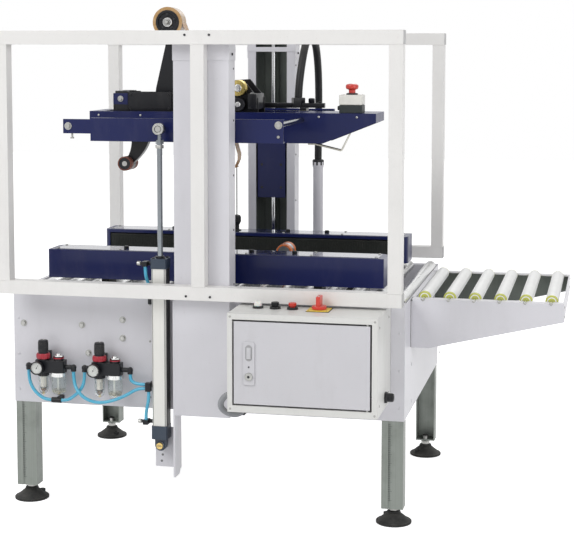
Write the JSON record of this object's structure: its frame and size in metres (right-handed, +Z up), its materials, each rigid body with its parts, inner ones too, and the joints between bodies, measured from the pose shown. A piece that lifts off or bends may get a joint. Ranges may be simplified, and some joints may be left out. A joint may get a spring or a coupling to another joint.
{
  "type": "carton sealer",
  "caption": "Side-belt carton sealer: a legged roller bed with a sliding tape head above, a tape head below, side drive belts, guard frames and an outfeed table.",
  "frame": {"origin": "on the floor, midway between the four levelling feet", "axes": "+X the way the carton travels, out over the outfeed table; -Y the operator's side with the cabinet; +Z up"},
  "size_m": [1.6625, 1.201, 1.521],
  "materials": {
    "panel_paint": "satin",
    "guard_paint": "satin",
    "cabinet_paint": "satin",
    "door_paint": "satin",
    "blue_paint": "gloss",
    "black_paint": "satin",
    "leg_aluminium": "satin",
    "bare_aluminium": "satin",
    "steel": "brushed",
    "chrome": "polished",
    "black_rubber": "matt",
    "belt_rubber": "matt",
    "black_plastic": "matt",
    "blue_hose": "gloss",
    "roller_plastic": "satin",
    "teal_plastic": "satin",
    "clear_bowl": "gloss",
    "red_plastic": "gloss",
    "button_black": "gloss",
    "white_plastic": "gloss",
    "amber_tape": "gloss",
    "orange_rubber": "satin"
  },
  "bodies": {
    "frame": {"air_bowls": "clear_bowl", "air_hoses": "blue_hose", "bed_rollers": "steel", "cabinet": "cabinet_paint", "cabinet_fittings": "bare_aluminium", "column_caps": "panel_paint", "cylinder_barrel": "bare_aluminium", "cylinder_bracket": "panel_paint", "cylinder_caps": "teal_plastic", "end_panels": "panel_paint", "exit_end_plate": "panel_paint", "exit_side_plates": "panel_paint", "front_column": "panel_paint", "front_panel": "panel_paint", "guard_posts": "guard_paint", "guard_rails": "guard_paint", "guide_shafts": "chrome", "head_conduit": "black_rubber", "hose_fittings": "black_plastic", "legs": "leg_aluminium", "levelling_feet": "black_rubber", "lower_tape_head": "steel", "pressure_gauges": "black_plastic", "rear_column": "panel_paint", "rear_panel": "panel_paint", "regulator_bodies": "black_plastic", "regulator_knobs": "black_plastic", "roller_axles": "steel", "standpipe": "panel_paint"},
    "head": {"head_beam": "blue_paint", "head_arms": "blue_paint", "cross_rods": "chrome", "carriages": "blue_paint", "cylinder_rod": "chrome", "head_brackets": "steel", "tape_head": "black_paint", "tape_holder": "black_paint", "estop_box": "white_plastic"},
    "tape_roll": {"tape_roll": "amber_tape"},
    "tape_arm": {"tape_arm": "black_plastic"},
    "estop_button": {"estop_button": "red_plastic"},
    "front_belt": {"front_belt_housing": "blue_paint", "front_belt": "belt_rubber", "front_belt_carriage": "steel"},
    "rear_belt": {"rear_belt_housing": "blue_paint", "rear_belt": "belt_rubber", "rear_belt_carriage": "steel", "lock_knob": "black_plastic"},
    "door": {"cabinet_door": "door_paint"},
    "switch": {"switch_knob": "red_plastic"},
    "black_button": {"black_button": "button_black"},
    "red_button": {"red_button": "red_plastic"},
    "lower_tape_arm": {"lower_tape_arm": "orange_rubber"},
    "last_bed_roller": {"last_bed_roller": "steel"},
    "exit_roller_1": {"exit_roller_1": "roller_plastic"},
    "exit_roller_2": {"exit_roller_2": "roller_plastic"},
    "exit_roller_3": {"exit_roller_3": "roller_plastic"},
    "exit_roller_4": {"exit_roller_4": "roller_plastic"},
    "exit_roller_5": {"exit_roller_5": "roller_plastic"},
    "exit_roller_6": {"exit_roller_6": "roller_plastic"}
  },
  "joints": [
    {"name": "head_lift", "type": "slide", "parent": "frame", "child": "head", "axis": [0, 0, 1], "range_m": [-0.3, 0.05], "deforming": ["head_conduit"]},
    {"name": "front_belt_slide", "type": "slide", "parent": "frame", "child": "front_belt", "axis": [0, 1, 0], "range_m": [-0.06, 0.1]},
    {"name": "rear_belt_slide", "type": "slide", "parent": "frame", "child": "rear_belt", "axis": [0, 1, 0], "range_m": [-0.1, 0.06]},
    {"name": "tape_roll_spin", "type": "hinge", "parent": "head", "child": "tape_roll", "pos_m": [-0.226, 0, 1.472], "axis": [0, 1, 0], "continuous": true},
    {"name": "tape_arm_swing", "type": "hinge", "parent": "head", "child": "tape_arm", "pos_m": [-0.377, 0, 1.227], "axis": [0, -1, 0], "range_deg": [0, 60], "stiffness_Nm_per_rad": 1.2, "springref_deg": -51.57},
    {"name": "estop_press", "type": "slide", "parent": "head", "child": "estop_button", "axis": [0, 0, 1], "range_m": [-0.005, 0], "stiffness_N_per_m": 900, "springref_m": 0.002},
    {"name": "lower_tape_arm_swing", "type": "hinge", "parent": "frame", "child": "lower_tape_arm", "pos_m": [0.06, 0, 0.64], "axis": [0, 1, 0], "range_deg": [0, 44], "stiffness_Nm_per_rad": 1.2, "springref_deg": -34.38},
    {"name": "door_hinge", "type": "hinge", "parent": "frame", "child": "door", "pos_m": [0.53, -0.66, 0.52], "axis": [0, 0, 1], "range_deg": [0, 110]},
    {"name": "switch_turn", "type": "hinge", "parent": "frame", "child": "switch", "pos_m": [0.377, -0.565, 0.7], "axis": [0, 0, 1], "range_deg": [0, 90]},
    {"name": "black_button_press", "type": "slide", "parent": "frame", "child": "black_button", "axis": [0, 0, 1], "range_m": [-0.003, 0], "stiffness_N_per_m": 500, "springref_m": 0.001},
    {"name": "red_button_press", "type": "slide", "parent": "frame", "child": "red_button", "axis": [0, 0, 1], "range_m": [-0.003, 0], "stiffness_N_per_m": 500, "springref_m": 0.001},
    {"name": "last_bed_roller_spin", "type": "hinge", "parent": "frame", "child": "last_bed_roller", "pos_m": [0.577, 0, 0.65], "axis": [0, 1, 0], "continuous": true},
    {"name": "exit_roller_1_spin", "type": "hinge", "parent": "frame", "child": "exit_roller_1", "pos_m": [0.636, 0, 0.65], "axis": [0, 1, 0], "continuous": true},
    {"name": "exit_roller_2_spin", "type": "hinge", "parent": "frame", "child": "exit_roller_2", "pos_m": [0.7105, 0, 0.65], "axis": [0, 1, 0], "continuous": true},
    {"name": "exit_roller_3_spin", "type": "hinge", "parent": "frame", "child": "exit_roller_3", "pos_m": [0.785, 0, 0.65], "axis": [0, 1, 0], "continuous": true},
    {"name": "exit_roller_4_spin", "type": "hinge", "parent": "frame", "child": "exit_roller_4", "pos_m": [0.8595, 0, 0.65], "axis": [0, 1, 0], "continuous": true},
    {"name": "exit_roller_5_spin", "type": "hinge", "parent": "frame", "child": "exit_roller_5", "pos_m": [0.934, 0, 0.65], "axis": [0, 1, 0], "continuous": true},
    {"name": "exit_roller_6_spin", "type": "hinge", "parent": "frame", "child": "exit_roller_6", "pos_m": [1.0085, 0, 0.65], "axis": [0, 1, 0], "continuous": true}
  ],
  "couplings": [
    {"joint": "rear_belt_slide", "follows": "front_belt_slide", "ratio": -1}
  ]
}
